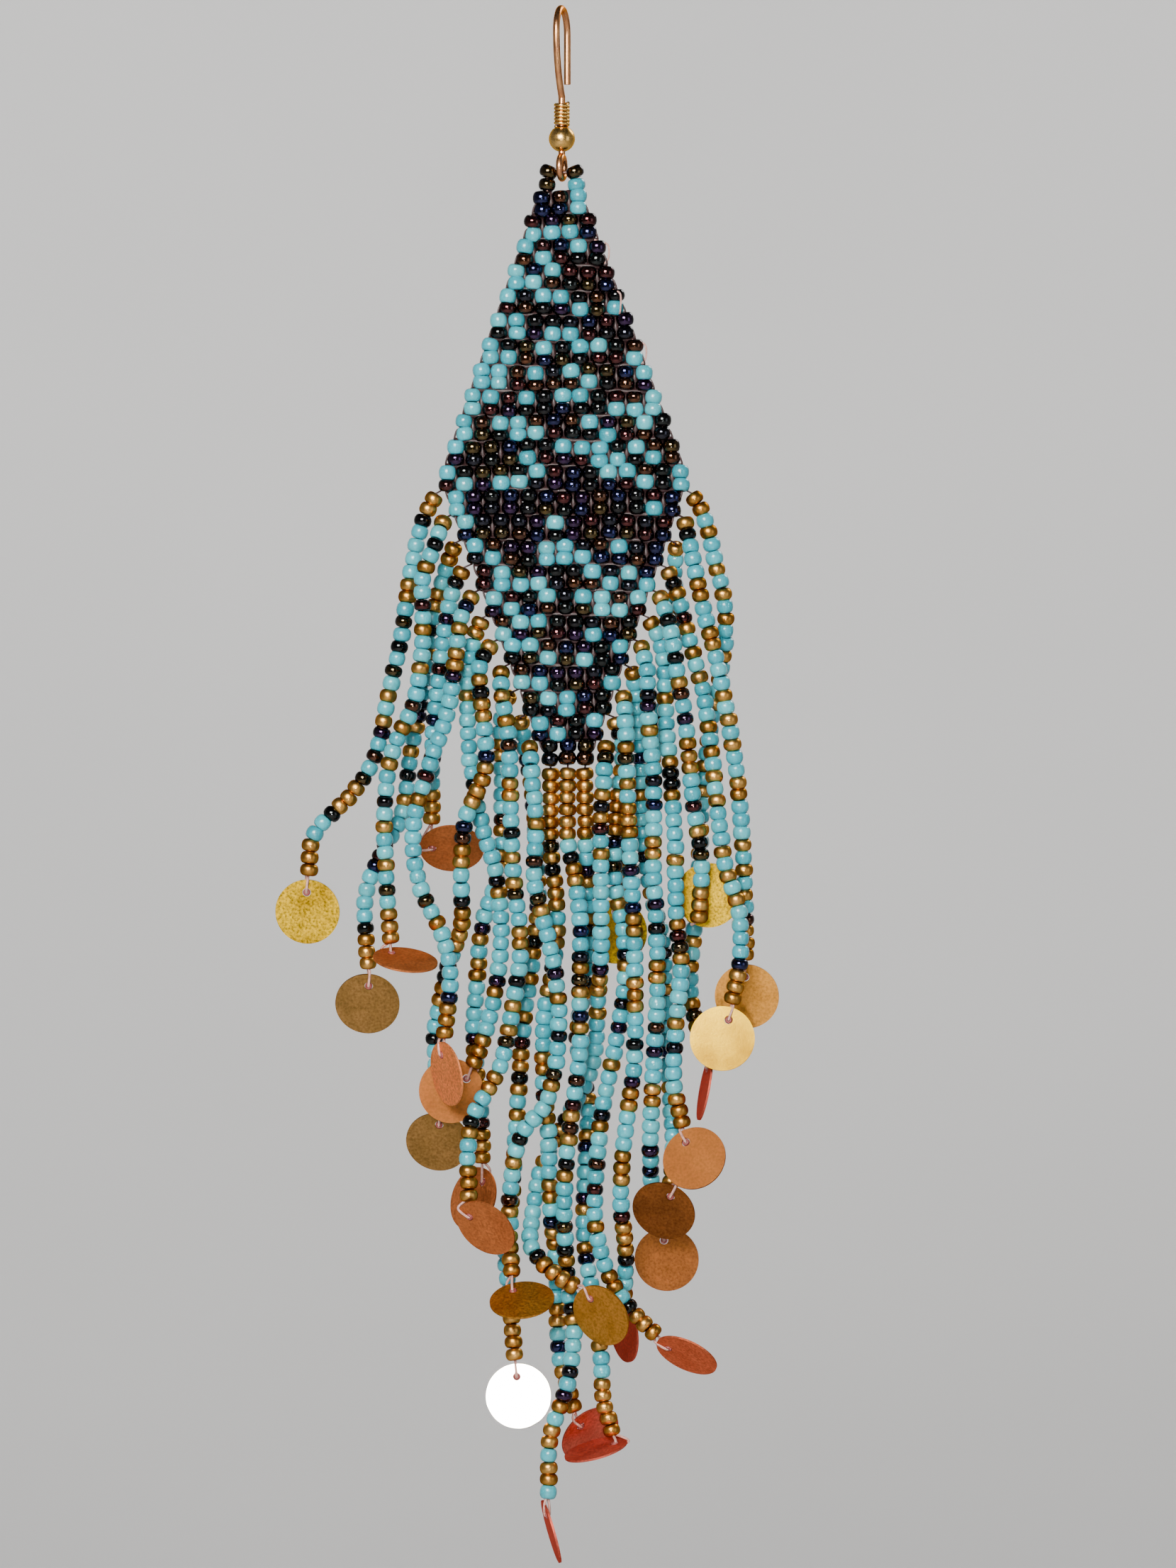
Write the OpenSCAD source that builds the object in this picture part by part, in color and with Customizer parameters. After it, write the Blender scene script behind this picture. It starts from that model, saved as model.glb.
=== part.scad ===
// Beaded drop earring: an ear wire with a coil and a ball, a diamond of beadwork, 25 bead strands
// that hang from its lower edges, and a thin metal disc on the end of each strand.
// The frame is +X to the right, +Y away from the viewer and +Z up, in millimetres. The origin is
// under the top bend of the hook, where it hangs.

/* [Ear wire] */
// Diameter of the ear wire
wire_d = 0.8; // [0.7:0.05:0.85]
// Radius of the hook's top bend, at the middle of the wire
hook_r = 2.8; // [2.6:0.1:3.2]
// Height of the hook's free end, below the origin
free_end = 8.2; // [6:0.1:9]
// Turn of the hook and its ring about the shank, clockwise from above
hook_turn = 13; // [0:1:15]
// Outside diameter of the ring at the foot of the wire
ring_d = 3.4; // [3.3:0.1:3.5]
// Diameter of the ball
ball_d = 3.1; // [2.8:0.1:3.1]
// Outside diameter of the wound coil
coil_d = 1.9; // [1.85:0.05:2.1]
// Turns of the wound coil
coil_turns = 7; // [5:1:7]

/* [Panel] */
// Diameter of a seed bead
bead_d = 2.1; // [2.05:0.01:2.12]
// Width of a brick of two stacked beads, the bead pitch along a row
brick_w = 2.12; // [2.1:0.01:2.13]
// Height of a brick
brick_h = 2.94; // [2.93:0.01:2.95]

/* [Discs] */
// Diameter of a disc
disc_d = 7.6; // [7.4:0.1:7.6]
// Thickness of a disc
disc_t = 0.25; // [0.2:0.05:0.25]
// Diameter of the hole in a disc
disc_hole_d = 1; // [0.95:0.05:1.1]
// Distance from a disc's centre to its hole
disc_hole_r = 2.3; // [2.2:0.1:2.5]

/* [Thread] */
// Diameter of the thread, drawn as one round strand
thread_d = 0.4; // [0.35:0.05:0.4]

/* [Hidden] */
tube_sides = 8;
ring_step = 5.2;
wire_sides = 32;
round_sides = 64;

GOLD = "#d9a441";
BRONZE = "#b98a3e";
TURQUOISE = "#62bfcb";
NIGHT = "#1c1d2b";

// Ear wire, from the top bend down to the ring
wire_x = -0.2;
bend_z = wire_d / 2 - hook_r;
kink_z = -10;
kink_d = wire_d + 0.04;
sweep_drop = bend_z - kink_z;
sweep_r = (pow(hook_r, 2) + pow(sweep_drop, 2)) / (2 * hook_r);
sweep_turn = asin(sweep_drop / sweep_r);
coil_top = -10.5;
coil_wire = 0.46;
coil_pitch = 0.42;
ball_z = -14.9;
ball_bore = wire_d + 0.2;
thread_z = -18.9;
thread_play = 0.05;
ring_z = thread_z - thread_d / 2 - thread_play - wire_d + ring_d / 2;

// Panel: rows of bricks that grow by one to the widest row and shrink again, about a centre line
// that leans a little to the right
top_bricks = 3;
widest_row = 11;
last_row = 2 * widest_row;
panel_z = -22.4;
panel_x = -0.4;
lean = 0.9;
function bricks(k) = top_bricks + min(k, last_row - k);
function row_x(k) = panel_x + lean * k / last_row;
function row_z(k) = panel_z - k * brick_h;
function row_half(k) = bricks(k) * brick_w / 2;

// Hanging loop: two short columns of beads beside the ring
loop_gap = 0.15;
loop_lift = 0.3;
loop_rise = 0.9;
loop_foot = panel_z + brick_h / 2 + loop_lift;
loop_top = thread_z + loop_rise;
loop_reach = wire_d / 2 + loop_gap + bead_d / 2;

// Thread of a disc: from just below the last bead, down in front of the disc's hole and out behind
thread_start = 0.12;
thread_reach = 0.5;
thread_above = 0.35;
thread_below = 0.15;

// Routes of the strands, as [x, y, z] points from the panel's edge to the foot of the last bead
ROUTE_L = [
  [[-15, 0, -56.6], [-16.6, 0, -60], [-17.8, 0, -65], [-19, 0, -73], [-20.5, 0, -80], [-22, 0, -87],
   [-24.5, 0, -91.5], [-27, 0, -94], [-29.5, 0, -97], [-30, 0, -101.5]],
  [[-13.9, -0.9, -59.5], [-15, -2.1, -62.5], [-16.5, -2.4, -67], [-16.5, -2.4, -74],
   [-17.5, -2.4, -81], [-20, -2.4, -87], [-21, -2.4, -94], [-20.7, -2.4, -102],
   [-20.2, -2.4, -109.5]],
  [[-12.8, 0.9, -62.4], [-14, 2.1, -66], [-15.5, 2.4, -71], [-16.5, 2.4, -79], [-18, 2.4, -87],
   [-19, 2, -94], [-21.5, 1, -99], [-23.3, 0.6, -104], [-23, 0.4, -112.5]],
  [[-11.7, 0, -65.3], [-13, 0.2, -68], [-14, 0.2, -73], [-15, 0.2, -81], [-15.5, 1, -89],
   [-15.5, 1.6, -95.5]],
  [[-10.6, -0.9, -68.3], [-11.9, -2.1, -71], [-12.5, -2.4, -75], [-13.5, -2.4, -82],
   [-15.5, -2.4, -88], [-17.5, -2.4, -95], [-17, -2.4, -102], [-14, -2.4, -109],
   [-13.3, -2.4, -114], [-14, -2.4, -120.5]],
  [[-9.5, 0, -71.2], [-10.8, 0, -74.5], [-11.3, 0, -80], [-11, 0, -88], [-9.5, 0, -96],
   [-8, 0, -101], [-7.3, 0, -108], [-8, 0, -115], [-9.5, 0, -121], [-10.8, 0, -124]],
  [[-8.4, -0.9, -74.1], [-9.8, -2.2, -77.1], [-9.4, -2.4, -83], [-9.2, -2.4, -89],
   [-11.5, -2.4, -95], [-12, -2.4, -102], [-12, -0.6, -107.5], [-13.8, 1.8, -113],
   [-15.2, 3, -120], [-15, 3, -125], [-14.8, 3, -129]],
  [[-7.3, -0.9, -77.1], [-7.2, -2.2, -80.5], [-6.4, -2.4, -86], [-6.2, -2.4, -94],
   [-5.8, -2.4, -102], [-5, -2.4, -110], [-6, -2.4, -117], [-7.5, -2.4, -124],
   [-10.5, -2.8, -129.5], [-11.2, -3.3, -134], [-11, -3.5, -139.5]],
  [[-6.2, 0.9, -80], [-7.4, 2.3, -83], [-7.3, 2.4, -91], [-7.5, 2.4, -100], [-9.5, 2.4, -107],
   [-10.2, 2.6, -114], [-10.6, 3, -121], [-9.8, 3, -129], [-9.6, 2.8, -135.5]],
  [[-5.1, 1.1, -82.9], [-4.6, 2.3, -86], [-3.6, 2.4, -93], [-3, 2.4, -104], [-3.8, 2.4, -112],
   [-4.8, 1.6, -120], [-5.4, 1.4, -128], [-6, 1.8, -138], [-6.8, 1.9, -145], [-6.3, 1.2, -152],
   [-5.7, 0.4, -158.5]],
  [[-4, -0.9, -85.9], [-3.8, -2.3, -89], [-3.2, -2.4, -95], [-3.4, -2.4, -102],
   [-2, -2.4, -108], [-0.8, -2.4, -114], [-0.6, -2.4, -121], [-2, -2.4, -128], [-5, -1.8, -132],
   [-6.2, -0.9, -138], [-6.3, -0.9, -144], [-6, -2.2, -148.5]]
];
ROUTE_R = [
  [[15.1, 0, -56.6], [16.6, 0, -59.5], [17.8, 0, -64.5], [19, 0, -70], [18.8, 1.4, -76],
   [17.5, 2.4, -83], [16.4, 2.4, -91], [16, 2.4, -100], [15.2, 2.4, -110], [15, 2.2, -116],
   [16.6, 0.6, -122.5]],
  [[14.2, -0.9, -59.5], [15.2, -1.9, -64.5], [16.5, -2.3, -70.5], [18, -2.4, -76.5],
   [19.3, -2, -83], [20.4, -1, -90], [21, 0, -97], [21.4, 0.8, -105], [21.4, 1, -111.5]],
  [[13.2, 0.9, -62.4], [13.1, 2.5, -66], [13, 2.6, -72], [12, 2.8, -80], [10.5, 4.4, -88],
   [8, 4.8, -96], [6.5, 4.8, -104]],
  [[12.1, 0.1, -65.3], [13.6, 0.2, -69], [15, 0, -74.5], [16.4, 0, -80], [17.4, -0.8, -87],
   [18.2, -2.2, -95], [19, -2.4, -100.5], [20.6, -2.6, -106], [20.6, -2.6, -112],
   [19.7, -2.6, -116.5]],
  [[11.1, -0.9, -68.3], [12.4, -2.2, -72], [13.4, -2.4, -78], [14.4, -2.4, -84],
   [15.2, -2.4, -93], [16.2, -2.4, -100], [15.8, -2.4, -107]],
  [[10, 0, -71.2], [11.6, 0, -75], [12, 0, -82], [12.6, -1.2, -90], [13.1, -2.4, -98],
   [13.2, -2.4, -106], [13.8, -2.4, -112], [13.2, -2.4, -119], [13, -2.4, -126],
   [14, -2.4, -131]],
  [[9, -0.9, -74.1], [9.8, -2.2, -77.5], [10, -2.4, -83], [10.6, -2.4, -91], [10.5, -2.4, -100],
   [10.9, -2.4, -107], [11, -2.4, -116], [10.6, -2.4, -123], [10.2, -2.4, -132],
   [10.4, 0.6, -138], [11.6, 1.6, -143.5]],
  [[8, 0.9, -77.1], [8.6, 2.3, -80.5], [9, 2.4, -87], [9.2, 2.4, -95], [10, 2.4, -102],
   [11.6, 2.4, -109], [12, 2.4, -118], [12.4, 2.4, -125], [12.8, 0.4, -131], [12.8, -1.1, -134.5],
   [12.6, -2, -138]],
  [[7, -0.9, -80], [7.3, -2.2, -83.5], [7.4, -2.4, -89], [7.7, -2.4, -97], [8.2, -2.4, -106],
   [8.4, -2.4, -115], [8.3, -2.4, -123], [7.3, -2.4, -131], [6.7, -1.5, -139], [7.3, 0.2, -146],
   [7.1, 2.3, -151.5]],
  [[6, 0.9, -82.9], [6.9, 0.8, -87], [6.2, 0, -94], [6, 0, -102], [7.2, 0, -109], [7, 0, -116],
   [5.8, 0, -123], [4.6, 0, -129], [3.8, -0.6, -137], [3.8, -1, -143], [5.6, -1, -149],
   [8, -1.2, -152.5], [11, -1.6, -155.5]],
  [[5, -0.9, -85.9], [4.8, -2.2, -89], [4.4, -2.4, -95], [4.4, -2.4, -103], [4.4, -2, -110],
   [4, 0.8, -117], [3.4, 2.4, -124], [0.5, 2.4, -130], [-2.6, 2.4, -136], [-3.6, 1.4, -141],
   [-3.8, -0.9, -145], [-1.4, -2.5, -147.8], [1.6, -2.7, -149.8]]
];
ROUTE_C = [
  [[-1.5, 0.6, -88.9], [-1.5, 0.6, -98], [-0.9, 0.2, -104], [-0.9, 0.4, -110], [-2.2, 0.4, -118],
   [-2.4, 0.4, -125], [-1.8, 0.2, -132], [-1.5, 0.6, -141], [-0.9, 2.2, -147], [-0.6, 1.8, -157],
   [0.4, 1, -161.5], [1.4, 0.5, -164.6]],
  [[0.5, -0.6, -88.9], [0.5, -0.6, -97], [1.4, -1.2, -102], [2, -2.4, -108], [1.9, -2.4, -115],
   [1.9, -2.4, -122], [0.9, -2.4, -130], [0.1, -2.2, -138], [0.2, -0.6, -145], [0.6, 0, -150],
   [1.2, -1.4, -156], [0.2, -2.4, -162], [-1.5, -2.4, -167], [-1.8, -2.4, -174.5]],
  [[2.5, 0.6, -88.9], [2.6, 1, -97], [2.8, 2.4, -105], [2.6, 2.4, -113], [1.6, 4.8, -121],
   [2.8, 4.8, -128], [2.6, 2.6, -136], [2.4, 2.4, -144], [3.4, 1, -151], [4.4, 0, -158],
   [4.7, -0.5, -163], [5.8, -0.5, -167.3]]
];

// Discs, a row for each strand: [way, tip, turn, drop, back]. The way from the hole to the centre
// is an angle in the front view, 0 down and 90 to the right. The tip leans the centre away from
// the viewer, and the turn swings the face to one side. The hole lies at drop along the strand's
// own direction from its foot, and at back behind its middle line.
DISC_L = [
  [2, 6, 4, 2, 0.65], [67, -38, -66, 1.1, -0.6], [-5, 22, 0, 2, 0.35], [89, 0, 45, 2.8, 0.9],
  [14, -6, 62, 2, 0.2], [-52, 0, 0, 1.6, 1.5], [-5, 25, 5, 2, 0.4], [55, -6, 45, 1.8, -0.3],
  [-30, 10, 48, 2.3, 0.8], [5, 0, 0, 2, 0.65], [50, -53, -38, 1.7, -0.3]
];
DISC_R = [
  [-11, 0, 84, 1.9, 0], [5, 6, 8, 2, 0.65], [0, 5, 10, 2, 0.65], [-19, -8, 5, 1.9, -0.65],
  [150, 0, 0, -1.2, 1.6], [28, -28, 5, 1.7, -1.2], [8, 6, 5, 1.2, 1.7], [-24, 32, 5, 1, -1.3],
  [2, 12, 65, 1.75, 0.9], [68, -8, 60, 1.9, 0], [32, 0, 40, 1.9, -1.7]
];
DISC_C = [[45, 45, 0, 1.9, 1.3], [12, 25, 82, 1.9, 0], [-75, 0, 80, 0.9, -1.4]];

function flat(lists) = [for (list = lists) for (item = list) item];
function unit(v) = v / norm(v);
function last(list) = list[len(list) - 1];
function prev(list) = list[len(list) - 2];

// A smooth curve through a route's points, in steps of about ring_step
function curve_at(a, b, c, d, t) =
  (2 * b + (c - a) * t + (2 * a - 5 * b + 4 * c - d) * t * t
   + (3 * b - a - 3 * c + d) * t * t * t) / 2;
function smooth(route) = let(
    n = len(route),
    ends = concat([2 * route[0] - route[1]], route, [2 * last(route) - prev(route)])
  ) concat(
    [for (i = [0 : n - 2])
      let(steps = max(1, round(norm(route[i + 1] - route[i]) / ring_step)))
      for (s = [0 : steps - 1])
        curve_at(ends[i], ends[i + 1], ends[i + 2], ends[i + 3], s / steps)],
    [last(route)]
  );

// Directions along a line of points, and one side direction for each, carried along without twist
function way_at(p, i) = unit(p[min(i + 1, len(p) - 1)] - p[max(i - 1, 0)]);
function carried(side, way) = unit(side - (side * way) * way);
function sides(p, i = 0, side = [1, 0, 0]) = i >= len(p) ? [] :
  let(here = carried(side, way_at(p, i))) concat([here], sides(p, i + 1, here));

// A closed tube along points p, with a radius for each point
module tube(p, radii) {
  n = len(p);
  u = sides(p);
  m = tube_sides;
  points = [for (i = [0 : n - 1]) let(v = cross(way_at(p, i), u[i])) for (j = [0 : m - 1])
    p[i] + radii[i] * (cos(360 * j / m) * u[i] + sin(360 * j / m) * v)];
  walls = [for (i = [0 : n - 2]) for (j = [0 : m - 1])
    [i * m + j, (i + 1) * m + j, (i + 1) * m + (j + 1) % m, i * m + (j + 1) % m]];
  caps = [[for (j = [0 : m - 1]) j], [for (j = [m - 1 : -1 : 0]) (n - 1) * m + j]];
  polyhedron(points, concat(walls, caps));
}

// Where a strand's disc lies: [way to its centre, face, hole, strand's side of the face]
function disc_way(d) = [sin(d[0]) * cos(d[1]), sin(d[1]), -cos(d[0]) * cos(d[1])];
function disc_face(d) = let(w = disc_way(d), f = carried([0, 1, 0], w))
  f * cos(d[2]) + cross(w, f) * sin(d[2]);
function foot_way(route) = unit(last(route) - prev(route));
function disc_hole(route, d) = last(route) + d[3] * foot_way(route) + [0, d[4], 0];
function near_face(route, d) = let(f = disc_face(d))
  (last(route) - disc_hole(route, d)) * f >= 0 ? f : -f;

// A strand of beads, and its bare thread down to the disc and through the disc's hole
module strand(route, d) {
  beads = smooth(route);
  foot = last(route);
  hole = disc_hole(route, d);
  face = near_face(route, d);
  along = carried(hole - foot, face);
  thread = [foot + thread_start * foot_way(route), hole + thread_reach * face - thread_above * along,
            hole - thread_reach * face + thread_below * along];
  tube(concat(beads, thread), [for (i = [0 : len(beads) + len(thread) - 1])
    (i < len(beads) ? bead_d : thread_d) / 2]);
}

module disc(route, d) {
  w = disc_way(d);
  f = disc_face(d);
  e = cross(f, w);
  c = disc_hole(route, d) + disc_hole_r * w;
  multmatrix([[w.x, e.x, f.x, c.x], [w.y, e.y, f.y, c.y], [w.z, e.z, f.z, c.z]])
    difference() {
      cylinder(h = disc_t, d = disc_d, center = true, $fn = round_sides);
      translate([-disc_hole_r, 0, 0])
        cylinder(h = 3 * disc_t, d = disc_hole_d, center = true, $fn = wire_sides);
    }
}

// A part of a round wire's bend in the YZ plane, about a centre, from one angle on
module bend(y, z, r, from, sweep) {
  translate([0, y, z]) rotate([90, 0, 90]) rotate([0, 0, from])
    rotate_extrude(angle = sweep, $fn = round_sides) translate([r, 0]) circle(d = wire_d, $fn = wire_sides);
}

module leg(y, top, foot) {
  translate([0, y, foot]) cylinder(h = top - foot, d = wire_d, $fn = wire_sides);
}

module ear_wire() {
  color(GOLD) translate([wire_x, 0, 0]) rotate([0, 0, -hook_turn]) union() {
    bend(0, bend_z, hook_r, 0, 180);
    leg(hook_r, bend_z, -free_end);
    bend(sweep_r - hook_r, bend_z, sweep_r, 180, sweep_turn);
    translate([0, 0, kink_z]) sphere(d = kink_d, $fn = wire_sides);
    leg(0, kink_z + wire_d / 8, ring_z + (ring_d - wire_d) / 2);
    bend(0, ring_z, (ring_d - wire_d) / 2, 0, 360);
  }
}

module coil() {
  wound_r = (coil_d - coil_wire) / 2;
  color(GOLD) translate([wire_x, 0, coil_top - coil_wire / 2]) rotate_extrude($fn = round_sides)
    for (i = [0 : coil_turns - 1])
      translate([wound_r, -i * coil_pitch]) circle(d = coil_wire, $fn = wire_sides);
}

module ball() {
  color(GOLD) translate([wire_x, 0, ball_z]) difference() {
    sphere(d = ball_d, $fn = round_sides);
    cylinder(h = 2 * ball_d, d = ball_bore, center = true, $fn = wire_sides);
  }
}

module hanging_loop() {
  color(NIGHT) union() {
    for (side = [-1, 1]) translate([wire_x + side * loop_reach, 0, loop_foot])
      cylinder(h = loop_top - loop_foot, d = bead_d, $fn = wire_sides);
    translate([wire_x, 0, thread_z]) rotate([0, 90, 0])
      cylinder(h = 2 * loop_reach, d = thread_d, center = true, $fn = wire_sides);
  }
}

module bead_panel() {
  left_edge = flat([for (k = [last_row : -1 : 0])
    [[row_x(k) - row_half(k), row_z(k) - brick_h / 2], [row_x(k) - row_half(k), row_z(k) + brick_h / 2]]]);
  right_edge = flat([for (k = [0 : last_row])
    [[row_x(k) + row_half(k), row_z(k) + brick_h / 2], [row_x(k) + row_half(k), row_z(k) - brick_h / 2]]]);
  color(TURQUOISE) rotate([90, 0, 0])
    linear_extrude(height = bead_d, center = true) polygon(concat(left_edge, right_edge));
}

// The strands and discs of one side, drawn when they are asked for
module fringe(side, routes, discs) {
  for (i = [0 : len(routes) - 1]) {
    color(i % 2 == 0 ? TURQUOISE : BRONZE) strand(routes[i], discs[i]);
    color(GOLD) disc(routes[i], discs[i]);
  }
}

ear_wire();
coil();
ball();
hanging_loop();
bead_panel();
fringe("l", ROUTE_L, DISC_L);
fringe("r", ROUTE_R, DISC_R);
fringe("c", ROUTE_C, DISC_C);
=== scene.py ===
import math
import random

import bpy
import numpy as np
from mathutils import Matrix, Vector


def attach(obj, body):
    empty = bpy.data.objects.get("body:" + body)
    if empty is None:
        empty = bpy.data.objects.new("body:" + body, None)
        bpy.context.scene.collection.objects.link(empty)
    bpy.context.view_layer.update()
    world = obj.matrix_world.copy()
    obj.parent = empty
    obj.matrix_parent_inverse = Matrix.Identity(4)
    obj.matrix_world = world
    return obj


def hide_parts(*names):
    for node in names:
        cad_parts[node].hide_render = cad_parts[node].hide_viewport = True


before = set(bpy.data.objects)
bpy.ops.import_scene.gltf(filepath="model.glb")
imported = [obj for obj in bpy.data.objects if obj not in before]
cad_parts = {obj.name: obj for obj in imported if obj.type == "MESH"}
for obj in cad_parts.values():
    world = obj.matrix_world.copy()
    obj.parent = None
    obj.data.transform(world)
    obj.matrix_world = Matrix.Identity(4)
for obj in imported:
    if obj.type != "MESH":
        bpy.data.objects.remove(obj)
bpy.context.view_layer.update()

# One millimetre in metres, and the upward direction
MM = 0.001
UP = np.array([0.0, 0.0, 1.0])

# Sizes in millimetres and counts, the same as in the CAD
BEAD_R = 1.05
BRICK_W = 2.12
BRICK_H = 2.94
TOP_BRICKS = 3
WIDEST_ROW = 11
LAST_ROW = 22
PANEL_X = -0.4
PANEL_Z = -22.4
LEAN = 0.9
WIRE_X = -0.2
THREAD_Z = -18.9
COIL_TOP = -10.5
COIL_D = 1.9
COIL_PITCH = 0.42
COIL_TURNS = 7
DISC_RADIUS = 3.8
DISC_HOLE_R = 2.3

# Sizes in millimetres of what only the scene shows: drilled beads, threads, knots and wound wire
HOLE_R = 0.4
BEAD_STEP = 1.46
THREAD_R = 0.12
STITCH_R = 0.36
LOOP_R = 0.16
LOOSE_R = 1.3
KNOT_R = 0.44
KNOT_H = 0.6
COIL_WIRE = 0.42

# Routes of the strands, as [x, y, z] points from the panel's edge to the foot of the last bead
ROUTES_LEFT = [
    [[-15, 0, -56.6], [-16.6, 0, -60], [-17.8, 0, -65], [-19, 0, -73], [-20.5, 0, -80], [-22, 0, -87],
     [-24.5, 0, -91.5], [-27, 0, -94], [-29.5, 0, -97], [-30, 0, -101.5]],
    [[-13.9, -0.9, -59.5], [-15, -2.1, -62.5], [-16.5, -2.4, -67], [-16.5, -2.4, -74],
     [-17.5, -2.4, -81], [-20, -2.4, -87], [-21, -2.4, -94], [-20.7, -2.4, -102],
     [-20.2, -2.4, -109.5]],
    [[-12.8, 0.9, -62.4], [-14, 2.1, -66], [-15.5, 2.4, -71], [-16.5, 2.4, -79], [-18, 2.4, -87],
     [-19, 2, -94], [-21.5, 1, -99], [-23.3, 0.6, -104], [-23, 0.4, -112.5]],
    [[-11.7, 0, -65.3], [-13, 0.2, -68], [-14, 0.2, -73], [-15, 0.2, -81], [-15.5, 1, -89],
     [-15.5, 1.6, -95.5]],
    [[-10.6, -0.9, -68.3], [-11.9, -2.1, -71], [-12.5, -2.4, -75], [-13.5, -2.4, -82],
     [-15.5, -2.4, -88], [-17.5, -2.4, -95], [-17, -2.4, -102], [-14, -2.4, -109],
     [-13.3, -2.4, -114], [-14, -2.4, -120.5]],
    [[-9.5, 0, -71.2], [-10.8, 0, -74.5], [-11.3, 0, -80], [-11, 0, -88], [-9.5, 0, -96],
     [-8, 0, -101], [-7.3, 0, -108], [-8, 0, -115], [-9.5, 0, -121], [-10.8, 0, -124]],
    [[-8.4, -0.9, -74.1], [-9.8, -2.2, -77.1], [-9.4, -2.4, -83], [-9.2, -2.4, -89],
     [-11.5, -2.4, -95], [-12, -2.4, -102], [-12, -0.6, -107.5], [-13.8, 1.8, -113],
     [-15.2, 3, -120], [-15, 3, -125], [-14.8, 3, -129]],
    [[-7.3, -0.9, -77.1], [-7.2, -2.2, -80.5], [-6.4, -2.4, -86], [-6.2, -2.4, -94],
     [-5.8, -2.4, -102], [-5, -2.4, -110], [-6, -2.4, -117], [-7.5, -2.4, -124],
     [-10.5, -2.8, -129.5], [-11.2, -3.3, -134], [-11, -3.5, -139.5]],
    [[-6.2, 0.9, -80], [-7.4, 2.3, -83], [-7.3, 2.4, -91], [-7.5, 2.4, -100], [-9.5, 2.4, -107],
     [-10.2, 2.6, -114], [-10.6, 3, -121], [-9.8, 3, -129], [-9.6, 2.8, -135.5]],
    [[-5.1, 1.1, -82.9], [-4.6, 2.3, -86], [-3.6, 2.4, -93], [-3, 2.4, -104], [-3.8, 2.4, -112],
     [-4.8, 1.6, -120], [-5.4, 1.4, -128], [-6, 1.8, -138], [-6.8, 1.9, -145], [-6.3, 1.2, -152],
     [-5.7, 0.4, -158.5]],
    [[-4, -0.9, -85.9], [-3.8, -2.3, -89], [-3.2, -2.4, -95], [-3.4, -2.4, -102], [-2, -2.4, -108],
     [-0.8, -2.4, -114], [-0.6, -2.4, -121], [-2, -2.4, -128], [-5, -1.8, -132], [-6.2, -0.9, -138],
     [-6.3, -0.9, -144], [-6, -2.2, -148.5]],
]
ROUTES_RIGHT = [
    [[15.1, 0, -56.6], [16.6, 0, -59.5], [17.8, 0, -64.5], [19, 0, -70], [18.8, 1.4, -76],
     [17.5, 2.4, -83], [16.4, 2.4, -91], [16, 2.4, -100], [15.2, 2.4, -110], [15, 2.2, -116],
     [16.6, 0.6, -122.5]],
    [[14.2, -0.9, -59.5], [15.2, -1.9, -64.5], [16.5, -2.3, -70.5], [18, -2.4, -76.5],
     [19.3, -2, -83], [20.4, -1, -90], [21, 0, -97], [21.4, 0.8, -105], [21.4, 1, -111.5]],
    [[13.2, 0.9, -62.4], [13.1, 2.5, -66], [13, 2.6, -72], [12, 2.8, -80], [10.5, 4.4, -88],
     [8, 4.8, -96], [6.5, 4.8, -104]],
    [[12.1, 0.1, -65.3], [13.6, 0.2, -69], [15, 0, -74.5], [16.4, 0, -80], [17.4, -0.8, -87],
     [18.2, -2.2, -95], [19, -2.4, -100.5], [20.6, -2.6, -106], [20.6, -2.6, -112],
     [19.7, -2.6, -116.5]],
    [[11.1, -0.9, -68.3], [12.4, -2.2, -72], [13.4, -2.4, -78], [14.4, -2.4, -84],
     [15.2, -2.4, -93], [16.2, -2.4, -100], [15.8, -2.4, -107]],
    [[10, 0, -71.2], [11.6, 0, -75], [12, 0, -82], [12.6, -1.2, -90], [13.1, -2.4, -98],
     [13.2, -2.4, -106], [13.8, -2.4, -112], [13.2, -2.4, -119], [13, -2.4, -126], [14, -2.4, -131]],
    [[9, -0.9, -74.1], [9.8, -2.2, -77.5], [10, -2.4, -83], [10.6, -2.4, -91], [10.5, -2.4, -100],
     [10.9, -2.4, -107], [11, -2.4, -116], [10.6, -2.4, -123], [10.2, -2.4, -132],
     [10.4, 0.6, -138], [11.6, 1.6, -143.5]],
    [[8, 0.9, -77.1], [8.6, 2.3, -80.5], [9, 2.4, -87], [9.2, 2.4, -95], [10, 2.4, -102],
     [11.6, 2.4, -109], [12, 2.4, -118], [12.4, 2.4, -125], [12.8, 0.4, -131], [12.8, -1.1, -134.5],
     [12.6, -2, -138]],
    [[7, -0.9, -80], [7.3, -2.2, -83.5], [7.4, -2.4, -89], [7.7, -2.4, -97], [8.2, -2.4, -106],
     [8.4, -2.4, -115], [8.3, -2.4, -123], [7.3, -2.4, -131], [6.7, -1.5, -139], [7.3, 0.2, -146],
     [7.1, 2.3, -151.5]],
    [[6, 0.9, -82.9], [6.9, 0.8, -87], [6.2, 0, -94], [6, 0, -102], [7.2, 0, -109], [7, 0, -116],
     [5.8, 0, -123], [4.6, 0, -129], [3.8, -0.6, -137], [3.8, -1, -143], [5.6, -1, -149],
     [8, -1.2, -152.5], [11, -1.6, -155.5]],
    [[5, -0.9, -85.9], [4.8, -2.2, -89], [4.4, -2.4, -95], [4.4, -2.4, -103], [4.4, -2, -110],
     [4, 0.8, -117], [3.4, 2.4, -124], [0.5, 2.4, -130], [-2.6, 2.4, -136], [-3.6, 1.4, -141],
     [-3.8, -0.9, -145], [-1.4, -2.5, -147.8], [1.6, -2.7, -149.8]],
]
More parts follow.
